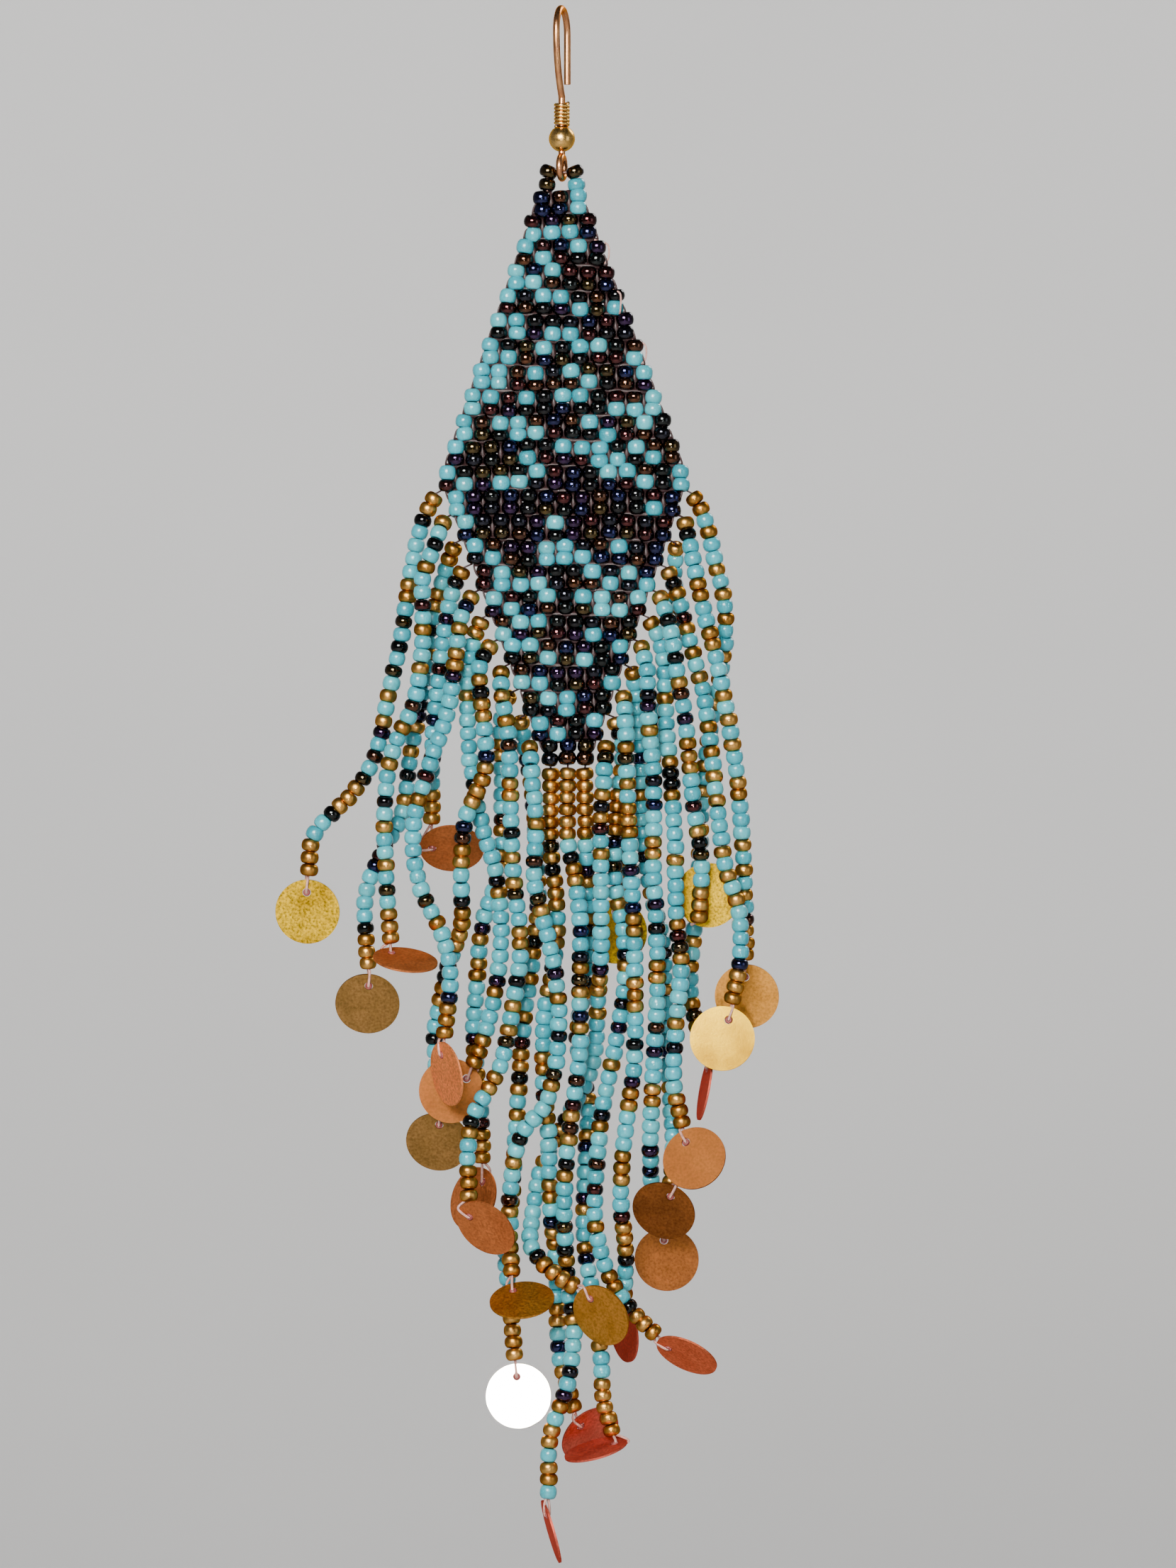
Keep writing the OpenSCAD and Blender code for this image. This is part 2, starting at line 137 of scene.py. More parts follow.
ROUTES_CENTRE = [
    [[-1.5, 0.6, -88.9], [-1.5, 0.6, -98], [-0.9, 0.2, -104], [-0.9, 0.4, -110], [-2.2, 0.4, -118],
     [-2.4, 0.4, -125], [-1.8, 0.2, -132], [-1.5, 0.6, -141], [-0.9, 2.2, -147], [-0.6, 1.8, -157],
     [0.4, 1, -161.5], [1.4, 0.5, -164.6]],
    [[0.5, -0.6, -88.9], [0.5, -0.6, -97], [1.4, -1.2, -102], [2, -2.4, -108], [1.9, -2.4, -115],
     [1.9, -2.4, -122], [0.9, -2.4, -130], [0.1, -2.2, -138], [0.2, -0.6, -145], [0.6, 0, -150],
     [1.2, -1.4, -156], [0.2, -2.4, -162], [-1.5, -2.4, -167], [-1.8, -2.4, -174.5]],
    [[2.5, 0.6, -88.9], [2.6, 1, -97], [2.8, 2.4, -105], [2.6, 2.4, -113], [1.6, 4.8, -121],
     [2.8, 4.8, -128], [2.6, 2.6, -136], [2.4, 2.4, -144], [3.4, 1, -151], [4.4, 0, -158],
     [4.7, -0.5, -163], [5.8, -0.5, -167.3]],
]

# Discs, a row for each strand: [way, tip, turn, drop, back], as in the CAD
DISCS_LEFT = [
    [2, 6, 4, 2, 0.65], [67, -38, -66, 1.1, -0.6], [-5, 22, 0, 2, 0.35], [89, 0, 45, 2.8, 0.9],
    [14, -6, 62, 2, 0.2], [-52, 0, 0, 1.6, 1.5], [-5, 25, 5, 2, 0.4], [55, -6, 45, 1.8, -0.3],
    [-30, 10, 48, 2.3, 0.8], [5, 0, 0, 2, 0.65], [50, -53, -38, 1.7, -0.3],
]
DISCS_RIGHT = [
    [-11, 0, 84, 1.9, 0], [5, 6, 8, 2, 0.65], [0, 5, 10, 2, 0.65], [-19, -8, 5, 1.9, -0.65],
    [150, 0, 0, -1.2, 1.6], [28, -28, 5, 1.7, -1.2], [8, 6, 5, 1.2, 1.7], [-24, 32, 5, 1, -1.3],
    [2, 12, 65, 1.75, 0.9], [68, -8, 60, 1.9, 0], [32, 0, 40, 1.9, -1.7],
]
DISCS_CENTRE = [[45, 45, 0, 1.9, 1.3], [12, 25, 82, 1.9, 0], [-75, 0, 80, 0.9, -1.4]]
FRINGE = {
    "l": (ROUTES_LEFT, DISCS_LEFT),
    "r": (ROUTES_RIGHT, DISCS_RIGHT),
    "c": (ROUTES_CENTRE, DISCS_CENTRE),
}

# Seeds of the random draws: the strands count up from theirs
PANEL_SEED = 11
LOOP_SEED = 5
FIRST_STRAND_SEED = 100

# Each strand's beads: how it starts, what repeats, and how it ends. T turquoise, G gold, D dark.
WORDS = {
    "l1": ("GGDTTTTGG", "TDTDTDTGTGD", "TDGGGDTTGGG"), "l2": ("GTDT", "GTTDTGTT", "DTGGG"),
    "l3": ("GGTTGG", "TDTGTTTDDGTG", "DTTTTDGGG"), "l4": ("GDTT", "DTTT", "DTTGGG"),
    "l5": ("GDTGTGGD", "TTTTTTTDTG", "TDGGG"), "l6": ("GGTTTT", "GTTTTTTD", "TTTGGG"),
    "l7": ("GDTG", "DGGTTDGGGGTD", "TTGGG"), "l8": ("GTGTGT", "DTTGGTTDTGTG", "GTTGGG"),
    "l9": ("GTTT", "GGTTTTDGT", "DGGG"), "l10": ("GTTD", "DGGDGTGTTGT", "TTTTTGGGG"),
    "l11": ("GTTTTTG", "TTDTTDGTTTTDTG", "GTGGGG"), "r1": ("GGTG", "TTGTGTG", "DGGG"),
    "r2": ("GDTTTGG", "TTGGTTTGTGTG", "DGGG"), "r3": ("GTT", "TTGTTD", "TGGG"),
    "r4": ("GDGTD", "GTGTGTTTGT", "TTTDGGG"), "r5": ("GTD", "TTDTGDTDTGGG", "DTTGGG"),
    "r6": ("GTTTTTG", "TTTTGDDGTTTTG", "DTTTGGG"), "r7": ("GTTTDDTG", "TTTDTDTTGG", "TDTGT"),
    "r8": ("GTT", "TTTTDTTG", "TGGG"), "r9": ("GTTTGDTG", "TGGGTTDTTDGGTT", "GGGDTTG"),
    "r10": ("GDTTGTGGGG", "DTDTTGTTTDGTT", "GGTDGGG"), "r11": ("GDTTGDGD", "TGTTTTTTTTDGG", "TDGGGG"),
    "c1": ("GGGGGGDGDGGG", "TGGTDGGTTT", "TGGGG"), "c2": ("GGGGGGTDGG", "TTTDTDGDGTDG", "TGGTGGT"),
    "c3": ("GGGGGG", "TTDGTTGDT", "GTTGGGGG"),
}

# The panel's beads: a small repeat that shifts from one repeat to the next, counted from a column
# in the panel's middle
PANEL_REPEAT = [
    "DTTDDDDTDD",
    "DDTTDDDDTD",
    "DDDDTDTTDD",
    "TTDDDDDDDT",
    "DTDTTDDDTD",
    "DDDDTTDDDT",
    "TDDDDDDTTD",
]
PANEL_SHIFT = 3
MIDDLE_COLUMN = 20

# Shares of the panel's beads that are made dark, across two rows and to the lower right, or turquoise
DARK_ROWS = (12, 13)
DARK_ROW_SHARE = 0.6
DARK_RIGHT_SHARE = 0.4
TURQUOISE_SHARE = 0.1

# The panel's rows wave a little: height in millimetres, and turn with each millimetre and each row
WAVE_H = 0.16
WAVE_WITH_X = 0.45
WAVE_WITH_ROW = 0.9

# Loose stitches at the panel's right edge: the row, and the angle round its last brick from the front
LOOSE_STITCHES = {2: 80, 4: 25, 6: 75}

# A stitch round a row's end, from the narrow row's brick to the wide row's: [out, forward, share of lift]
STITCH_LIFT = 0.47
STITCH_FROM = [(0, 0, 1), (0.8, -0.35, 0.85)]
STITCH_TO = [(0.1, -0.35, 0.15), (0, 0, -0.1)]

# The beads at the left and the right of the ring, and how the upper and the lower one of each lie:
# [out, up from the thread, lean in, rise, height]
LOOP_BEADS = {-1: "DD", 1: "DT"}
LOOP_PLACES = [(1.55, 0.1, 0.4, 0.9, 1.5), (1.72, -1.4, 0.12, 1, 1.45)]

# Share of a strand's or a brick's length that each kind of bead takes, and the range of its width
TALL = {"T": 1.1, "D": 0.93, "G": 0.97}
WIDE = {"T": (0.97, 1.05), "D": (0.99, 1.05), "G": (0.99, 1.06)}

# How much taller than its place a bead is, in the panel and on a strand
PANEL_TALLER = 1.1
STRAND_TALLER = 1.04

# Unevenness of the beads: ranges of height, roundness and light, and [tilt, wander] for each use
HEIGHT_RANGE = (0.96, 1.01)
ROUND_RANGE = (0.96, 1)
LIGHT_RANGE = (0.9, 1.1)
STRAND_UNEVEN = (0.1, 0.05)
PANEL_UNEVEN = (0.12, 0.08)
EDGE_UNEVEN = (0.2, 0.08)
LOOP_UNEVEN = (0.02, 0.01)

# The discs of each finish
DISC_FINISH = {
    "bright": ["l1", "r3", "r5"],
    "amber": ["l11", "r2", "r11"],
    "dull": ["l3", "l7"],
    "gloss": ["r4"],
    "brown": ["r7", "r8"],
    "copper": ["l6", "r6"],
    "orange": ["l2", "l4", "l8", "l9"],
    "coral": ["r10"],
    "light": ["l5"],
    "rust": ["r1", "r9", "c1", "c2", "c3"],
    "white": ["l10"],
}


# Materials, and the range that most of their noise lies in
NOISE_RANGE = (0.3, 0.7)


class Finish:
    """A procedural material: its shader, and the nodes that feed it."""

    def __init__(self, name, sockets):
        self.mat = bpy.data.materials.new(name)
        self.mat.use_nodes = True
        self.nodes = self.mat.node_tree.nodes
        self.links = self.mat.node_tree.links
        self.shader = self.nodes["Principled BSDF"]
        for key, value in sockets.items():
            self.shader.inputs[key].default_value = value

    def feed(self, key, source):
        self.links.new(source, self.shader.inputs[key])

    def noise(self, scale, detail=3.0, stretch=(1, 1, 1)):
        """Noise on the object's own coordinates, in metres."""
        coords = self.nodes.new("ShaderNodeTexCoord")
        mapping = self.nodes.new("ShaderNodeMapping")
        mapping.inputs["Scale"].default_value = stretch
        texture = self.nodes.new("ShaderNodeTexNoise")
        texture.inputs["Scale"].default_value = scale
        texture.inputs["Detail"].default_value = detail
        self.links.new(coords.outputs["Object"], mapping.inputs["Vector"])
        self.links.new(mapping.outputs["Vector"], texture.inputs["Vector"])
        return texture.outputs["Fac"]

    def blend(self, source, low, high):
        """Two colours mixed by noise."""
        node = self.nodes.new("ShaderNodeValToRGB")
        for element, place, colour in zip(node.color_ramp.elements, NOISE_RANGE, (low, high)):
            element.position = place
            element.color = (*colour, 1)
        self.links.new(source, node.inputs["Fac"])
        return node.outputs["Color"]

    def multiply(self, one, other):
        node = self.nodes.new("ShaderNodeMix")
        node.data_type = "RGBA"
        node.blend_type = "MULTIPLY"
        node.inputs["Factor"].default_value = 1.0
        self.links.new(one, node.inputs["A"])
        self.links.new(other, node.inputs["B"])
        return node.outputs["Result"]

    def spread(self, source, low, high):
        """Noise spread over a range of values."""
        node = self.nodes.new("ShaderNodeMapRange")
        node.inputs["From Min"].default_value, node.inputs["From Max"].default_value = NOISE_RANGE
        node.inputs["To Min"].default_value = low
        node.inputs["To Max"].default_value = high
        self.links.new(source, node.inputs["Value"])
        return node.outputs["Result"]

    def bump(self, source, distance, strength):
        node = self.nodes.new("ShaderNodeBump")
        node.inputs["Distance"].default_value = distance
        node.inputs["Strength"].default_value = strength
        self.links.new(source, node.inputs["Height"])
        self.feed("Normal", node.outputs["Normal"])


def beadwork(name, sockets, mottle, scale, rough, bump_depth):
    """Beads and thread: each part's own tint from the mesh, mottled, with uneven gloss."""
    finish = Finish(name, sockets)
    tint = finish.nodes.new("ShaderNodeVertexColor")
    tint.layer_name = "tint"
    patches = finish.noise(scale)
    greys = finish.blend(patches, (1 - mottle,) * 3, (1 + mottle,) * 3)
    finish.feed("Base Color", finish.multiply(tint.outputs["Color"], greys))
    finish.feed("Roughness", finish.spread(patches, *rough))
    ripples = finish.noise(1.5 * scale, detail=2.0)
    finish.bump(ripples, bump_depth, strength=0.6)
    return finish.mat


def metal(name, dark, light, rough, patch_scale, grain, grain_depth, grain_scale=3400.0, stretch=(1, 1, 1)):
    """Metal with patches of tone, a fine grain and uneven gloss. Depths are in metres."""
    finish = Finish(name, {"Metallic": 1.0, "Specular Tint": (*light, 1)})
    tone = finish.blend(finish.noise(patch_scale, detail=4.0), dark, light)
    specks = finish.noise(grain_scale, detail=2.0, stretch=stretch)
    greys = finish.blend(specks, (1 - grain,) * 3, (1 + grain,) * 3)
    finish.feed("Base Color", finish.multiply(tone, greys))
    finish.feed("Roughness", finish.spread(specks, *rough))
    finish.bump(specks, grain_depth, strength=0.8)
    return finish.mat


# Materials of the beads and the thread
GLOSSY = {"IOR": 1.52, "Coat Weight": 0.45, "Coat Roughness": 0.09}
IRIS = {"Metallic": 1.0, "Specular Tint": (0.05, 0.05, 0.08, 1), "Coat Weight": 0.7, "Coat Roughness": 0.04}
BRONZE = {"Metallic": 1.0, "Specular Tint": (0.3, 0.14, 0.04, 1)}
NYLON = {"IOR": 1.5, "Coat Weight": 0.1, "Coat Roughness": 0.2}

# Each has its mottling, the scale of it, the range of roughness, and the depth of the bumps in metres
BEAD_MATERIALS = [
    beadwork("turquoise_glass", GLOSSY, 0.07, 900.0, (0.22, 0.34), 0.00002),
    beadwork("iris_glass", IRIS, 0.3, 1100.0, (0.06, 0.11), 0.000001),
    beadwork("bronze_beads", BRONZE, 0.12, 1500.0, (0.3, 0.38), 0.00001),
    beadwork("nylon_thread", NYLON, 0.25, 2500.0, (0.45, 0.6), 0.00001),
]
BEAD_SLOTS = {"T": 0, "D": 1, "G": 2}
THREAD_SLOT = 3

# Materials of the ear wire, and of its coil and ball
# The ear wire's gold leans to rose: gold, with painted reflection of red surroundings in its colour
WIRE_GOLD_AND_RED_REFLECTION = metal("gold_wire", (0.56, 0.24, 0.11), (0.8, 0.41, 0.18), (0.24, 0.36), 500.0, 0.08,
                  0.000006, 3000.0, (1, 1, 0.15))
FITTING_GOLD = metal("gold_fittings", (0.68, 0.39, 0.1), (0.88, 0.56, 0.19), (0.2, 0.31), 600.0, 0.06,
                     0.000006, 3500.0)

# The discs' finishes: dark and light tone, roughness, scale of the patches, grain and its depth
SHEET_LOOKS = {
    "bright": ((0.25, 0.145, 0.003), (0.48, 0.31, 0.006), (0.5, 0.62), 260.0, 0.6, 0.00005),
    "gloss": ((0.16, 0.08, 0.004), (0.42, 0.26, 0.01), (0.36, 0.48), 160.0, 0.2, 0.00002),
    "amber": ((0.36, 0.16, 0.025), (0.5, 0.23, 0.04), (0.5, 0.62), 300.0, 0.3, 0.00003),
    "dull": ((0.2, 0.11, 0.03), (0.28, 0.15, 0.045), (0.5, 0.62), 300.0, 0.3, 0.00003),
    "brown": ((0.17, 0.058, 0.015), (0.25, 0.085, 0.022), (0.5, 0.62), 300.0, 0.3, 0.00003),
    "copper": ((0.25, 0.085, 0.022), (0.33, 0.12, 0.03), (0.58, 0.7), 300.0, 0.25, 0.00003),
    "orange": ((0.44, 0.14, 0.045), (0.56, 0.19, 0.062), (0.58, 0.7), 300.0, 0.25, 0.00003),
    "light": ((0.78, 0.27, 0.1), (0.92, 0.35, 0.13), (0.58, 0.7), 300.0, 0.25, 0.00003),
    "coral": ((0.52, 0.12, 0.055), (0.64, 0.17, 0.08), (0.58, 0.7), 300.0, 0.25, 0.00003),
    "rust": ((0.5, 0.085, 0.055), (0.62, 0.13, 0.085), (0.52, 0.64), 300.0, 0.25, 0.00003),
    "white": ((0.93, 0.86, 0.7), (0.97, 0.92, 0.8), (0.14, 0.2), 260.0, 0.05, 0.000004),
}
SHEET = {name: metal("disc_" + name, *looks) for name, looks in SHEET_LOOKS.items()}

# Tints of the beads, of which each bead has one, and of the thread
TINTS = {
    "T": [(0.033, 0.32, 0.4), (0.043, 0.35, 0.42), (0.023, 0.28, 0.35), (0.06, 0.37, 0.43)],
    "D": [(0.002, 0.006, 0.065), (0.025, 0.002, 0.045), (0.06, 0.034, 0.002), (0.08, 0.021, 0.002),
          (0.002, 0.005, 0.005), (0.06, 0.002, 0.003), (0.002, 0.002, 0.004), (0.003, 0.004, 0.015)],
    "G": [(0.52, 0.27, 0.062), (0.6, 0.32, 0.08), (0.43, 0.205, 0.04)],
}
# Near-black tint of the stitches and of the strands' thread: dark thread, darkened further as painted shade
# in the gaps between the beads
STITCH_AND_SHADE_TINT = (0.03, 0.01, 0.011)
THREAD_TINT = (0.5, 0.27, 0.23)
KNOT_TINT = (0.24, 0.05, 0.045)


# Mesh helpers
class Piece:
    """Collects parts into one mesh, with a material slot and a tint for each part."""

    def __init__(self):
        self.verts = []
        self.faces = []
        self.slots = []
        self.tints = []
        self.count = 0

    def add(self, verts, faces, slot, tint):
        self.verts.append(verts)
        self.faces += [[i + self.count for i in face] for face in faces]
        self.slots += [slot] * len(faces)
        self.tints += [tint] * len(verts)
        self.count += len(verts)

    def build(self, name, mats):
        mesh = bpy.data.meshes.new(name)
        mesh.from_pydata((np.concatenate(self.verts) * MM).tolist(), [], self.faces)
        for mat in mats:
            mesh.materials.append(mat)
        mesh.polygons.foreach_set("material_index", self.slots)
        mesh.polygons.foreach_set("use_smooth", [True] * len(self.faces))
        layer = mesh.color_attributes.new("tint", "FLOAT_COLOR", "POINT")
        layer.data.foreach_set("color", [c for tint in self.tints for c in (*tint, 1.0)])
        mesh.update()
        obj = bpy.data.objects.new(name, mesh)
        bpy.context.scene.collection.objects.link(obj)
        return obj


def unit(v):
    return v / np.linalg.norm(v)


def axes(way):
    """Two directions square to a way and to each other."""
    near_x = 0.8
    side = np.array([1.0, 0.0, 0.0]) if abs(way[0]) < near_x else np.array([0.0, 1.0, 0.0])
    side = unit(side - side.dot(way) * way)
    return side, np.cross(way, side)


def bead_template():
    """A plump ring with a drilled hole, of radius 1 and height 1, its axis along Z."""
    sides = 18
    plumpness = 0.92
    crown_width = 0.12
    outer_angles = (-88, -62, -37, -12, 12, 37, 62, 88)
    hole_angles = (150, 210)
    hole = HOLE_R / BEAD_R
    crown = hole + crown_width
    profile = []
    for angle in outer_angles + hole_angles:
        c = math.cos(math.radians(angle))
        s = math.sin(math.radians(angle))
        reach = 1 - crown if c > 0 else crown - hole
        r = crown + reach * math.copysign(abs(c) ** plumpness, c)
        profile.append((r, 0.5 * math.copysign(abs(s) ** plumpness, s)))
    n = len(profile)
    turns = [math.tau * k / sides for k in range(sides)]
    verts = [[r * math.cos(a), r * math.sin(a), z] for a in turns for r, z in profile]
    faces = []
    for k in range(sides):
        after = (k + 1) % sides
        for i in range(n):
            j = (i + 1) % n
            faces.append([k * n + i, after * n + i, after * n + j, k * n + j])
    return np.array(verts), faces


BEAD_VERTS, BEAD_FACES = bead_template()


def add_bead(piece, rng, kind, centre, way, height, tilt, wander):
    """One seed bead with its hole along way, a little uneven in size, tilt and place."""
    way = unit(np.array(way) + np.array([rng.uniform(-tilt, tilt) for _ in range(3)]))
    side, other = axes(way)
    radius = BEAD_R * rng.uniform(*WIDE[kind])
    tall = height * rng.uniform(*HEIGHT_RANGE)
    basis = np.array([side * radius * rng.uniform(*ROUND_RANGE), other * radius, way * tall])
    shift = np.array([rng.uniform(-wander, wander) for _ in range(3)])
    light = rng.uniform(*LIGHT_RANGE)
    tint = tuple(light * c for c in rng.choice(TINTS[kind]))
    piece.add(BEAD_VERTS @ basis + np.array(centre) + shift, BEAD_FACES, BEAD_SLOTS[kind], tint)


def add_tube(piece, points, radius, sides=6, slot=THREAD_SLOT, tint=THREAD_TINT):
    """A round tube along points, closed at its ends."""
    p = [np.array(q, float) for q in points]
    turns = [math.tau * j / sides for j in range(sides)]
    verts = []
    side = None
    for i, here in enumerate(p):
        way = unit(p[min(i + 1, len(p) - 1)] - p[max(i - 1, 0)])
        side = axes(way)[0] if side is None else unit(side - side.dot(way) * way)
        other = np.cross(way, side)
        verts += [here + radius * (math.cos(a) * side + math.sin(a) * other) for a in turns]
    faces = []
    for i in range(len(p) - 1):
        for j in range(sides):
            k = (j + 1) % sides
            faces.append([i * sides + j, i * sides + k, (i + 1) * sides + k, (i + 1) * sides + j])
    faces.append(list(range(sides))[::-1])
    faces.append([(len(p) - 1) * sides + j for j in range(sides)])
    piece.add(np.array(verts), faces, slot, tint)


def curve_at(a, b, c, d, t):
    """The point at t, from 0 to 1, between b and c on the smooth curve through four points."""
    bend = (2 * a - 5 * b + 4 * c - d) * t ** 2 + (3 * b - a - 3 * c + d) * t ** 3
    return (2 * b + (c - a) * t + bend) / 2


def smooth(points, steps=20):
    """A smooth curve through points, as many short steps."""
    p = [np.array(q, float) for q in points]
    ends = [2 * p[0] - p[1]] + p + [2 * p[-1] - p[-2]]
    curve = [curve_at(*ends[i:i + 4], s / steps) for i in range(len(p) - 1) for s in range(steps)]
    return np.array(curve + [p[-1]])


def lengths_along(curve):
    return np.concatenate([[0], np.cumsum(np.linalg.norm(np.diff(curve, axis=0), axis=1))])


def along(curve, lengths, place):
    """The point and the direction at a distance along a curve."""
    near = 0.4
    before, here, after = (np.array([np.interp(s, lengths, curve[:, k]) for k in range(3)])
                           for s in (place - near, place, place + near))
    return here, unit(after - before)


def finish_piece(piece, name, mats, body, node):
    obj = piece.build(name, mats)
    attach(obj, body)
    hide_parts(node)


# Panel, with row k counted from the top and brick i from the left
def bricks(k):
    return TOP_BRICKS + min(k, LAST_ROW - k)


def brick_x(k, i):
    return PANEL_X + LEAN * k / LAST_ROW - bricks(k) * BRICK_W / 2 + (i + 0.5) * BRICK_W


def row_z(k):
    return PANEL_Z - k * BRICK_H


def wave(k, x):
    """How far a place on a row lies above or below the row's middle line."""
    return WAVE_H * math.sin(WAVE_WITH_X * x + WAVE_WITH_ROW * k)


def panel_kind(rng, k, i, half):
    """The kind of a bead of the panel, darker across two rows and to the lower right."""
    line = 2 * k + half
    column = round((brick_x(k, i) - PANEL_X) / BRICK_W + MIDDLE_COLUMN)
    repeat = PANEL_REPEAT[line % len(PANEL_REPEAT)]
    kind = repeat[(column + line // len(PANEL_REPEAT) * PANEL_SHIFT) % len(repeat)]
    right = (i + 0.5) / bricks(k)
    darker = DARK_ROW_SHARE if k in DARK_ROWS else DARK_RIGHT_SHARE * right * (k > WIDEST_ROW)
    if rng.random() < darker:
        return "D"
    return "T" if rng.random() < TURQUOISE_SHARE else kind


def add_brick(piece, rng, k, i):
    """Two stacked beads that share the height of a brick, and the thread through them."""
    kinds = [panel_kind(rng, k, i, half) for half in (0, 1)]
    share = BRICK_H / sum(TALL[kind] for kind in kinds)
    uneven = EDGE_UNEVEN if i in (0, bricks(k) - 1) else PANEL_UNEVEN
    x = brick_x(k, i)
    z = row_z(k) + BRICK_H / 2 + wave(k, x)
    for kind in kinds:
        height = share * TALL[kind]
        add_bead(piece, rng, kind, (x, 0, z - height / 2), UP, PANEL_TALLER * height, *uneven)
        z -= height
    reach = 0.46
    pole = [(x, 0, row_z(k) + way * reach * BRICK_H) for way in (1, -1)]
    add_tube(piece, pole, THREAD_R, tint=STITCH_AND_SHADE_TINT)


def add_row_thread(piece, k):
    """The bundle of thread between a row and the next, which weaves from front to back; its near-black tint
    is partly painted shade between the rows.
    """
    weave = 0.1
    z = row_z(k) - BRICK_H / 2
    wide = k + 1 if bricks(k + 1) > bricks(k) else k
    line = []
    for i in range(bricks(wide)):
        x = brick_x(wide, i)
        line.append((x, weave if i % 2 else -weave, z + wave(wide, x)))
    add_tube(piece, line, STITCH_R, tint=STITCH_AND_SHADE_TINT)


def add_gap_shade(piece, k):
    """Dark tubes behind the gaps between a row's bricks: painted shade that darkens the gaps, not thread.
    """
    slant = 0.2
    back = 0.3
    back_middle = 0.2
    z = row_z(k)
    for i in range(bricks(k) - 1):
        x = (brick_x(k, i) + brick_x(k, i + 1)) / 2
        turn = [(x - slant, back, z + 0.5 * BRICK_H), (x, back_middle, z),
                (x + slant, back, z - BRICK_H / 2)]
        add_tube(piece, turn, STITCH_R, tint=STITCH_AND_SHADE_TINT)


def add_end_stitches(piece, k):
    """The stitches round both ends of a row and the next."""
    z = row_z(k) - BRICK_H / 2
    grows = bricks(k + 1) > bricks(k)
    wide, narrow = (k + 1, k) if grows else (k, k + 1)
    lift = BRICK_H * (STITCH_LIFT if grows else -STITCH_LIFT)
    for way, inner, outer in ((-1, 0, 0), (1, bricks(narrow) - 1, bricks(wide) - 1)):
        stitch = []
        for x, points in ((brick_x(narrow, inner), STITCH_FROM), (brick_x(wide, outer), STITCH_TO)):
            stitch += [(x + way * out, front, z + share * lift) for out, front, share in points]
        add_tube(piece, smooth(stitch, steps=5), THREAD_R, tint=STITCH_AND_SHADE_TINT)


def add_loose_stitch(piece, k, angle):
    """A pale stitch that lies loose round the outside of a row's last brick."""
    x = brick_x(k, bricks(k) - 1)
    z = row_z(k)
    end = 0.5 * BRICK_H
    bow = 0.3 * BRICK_H
    out = LOOSE_R * math.sin(math.radians(angle))
    front = -LOOSE_R * math.cos(math.radians(angle))
    stitch = [(x - 0.3, -0.4, z + end), (x + out, front, z + bow), (x + out, front, z - bow),
              (x + 0.4, -0.3, z - end)]
    add_tube(piece, smooth(stitch, steps=6), THREAD_R)


def build_panel():
    rng = random.Random(PANEL_SEED)
    piece = Piece()
    for k in range(LAST_ROW + 1):
        for i in range(bricks(k)):
            add_brick(piece, rng, k, i)
    for k in range(LAST_ROW):
        add_row_thread(piece, k)
        add_gap_shade(piece, k)
        add_end_stitches(piece, k)
    for k, angle in LOOSE_STITCHES.items():
        add_loose_stitch(piece, k, angle)
    finish_piece(piece, "panel_beads", BEAD_MATERIALS, "drop", "bead_panel")


# Hanging loop
def build_loop():
    """The beads beside the ring, and the thread that goes through it."""
    foot = 1.1
    ring_inside = (WIRE_X, 0.06, THREAD_Z + 0.02)
    rng = random.Random(LOOP_SEED)
    piece = Piece()
    arch = []
    for side, kinds in LOOP_BEADS.items():
        centres = []
        for kind, (out, up, lean, rise, height) in zip(kinds, LOOP_PLACES):
            centre = np.array([WIRE_X + side * out, 0, THREAD_Z + up])
            add_bead(piece, rng, kind, centre, (-side * lean, 0, rise), height, *LOOP_UNEVEN)
            centres.append(centre)
        top, low = centres
        arch.append([tuple(low - foot * UP), tuple(low), tuple(top)])
    thread = arch[0] + [ring_inside] + arch[1][::-1]
    add_tube(piece, smooth(thread, steps=6), THREAD_R)
    finish_piece(piece, "loop_beads", BEAD_MATERIALS, "drop", "hanging_loop")


# Strands, with the thread loops that hold their discs
def disc_place(route, disc):
    """The disc's way, face towards the strand, and hole, and the strand's foot and direction."""
    side, tip, turn = (math.radians(a) for a in disc[:3])
    drop, back = disc[3:]
    way = np.array([math.sin(side) * math.cos(tip), math.sin(tip), -math.cos(side) * math.cos(tip)])
    face = np.array([0.0, 1.0, 0.0])
    face = unit(face - face.dot(way) * way)
    face = face * math.cos(turn) + np.cross(way, face) * math.sin(turn)
    foot = np.array(route[-1], float)
    down = unit(foot - np.array(route[-2], float))
    hole = foot + drop * down + np.array([0, back, 0])
    if (foot - hole).dot(face) < 0:
        face = -face
    return way, face, hole, foot, down


def word_of(name, count):
    """The bead kinds of a strand, in order."""
    start, repeat, end = WORDS[name]
    middle = repeat * (count // len(repeat) + 1)
    return start + middle[:max(0, count - len(start) - len(end))] + end


def string_beads(piece, rng, kinds, curve, lengths):
    """Beads on a curve, which they fill from end to end."""
    share = lengths[-1] / sum(TALL[kind] for kind in kinds)
    place = 0
    for kind in kinds:
        height = share * TALL[kind]
        centre, way = along(curve, lengths, place + height / 2)
        add_bead(piece, rng, kind, centre, way, STRAND_TALLER * height, *STRAND_UNEVEN)
        place += height


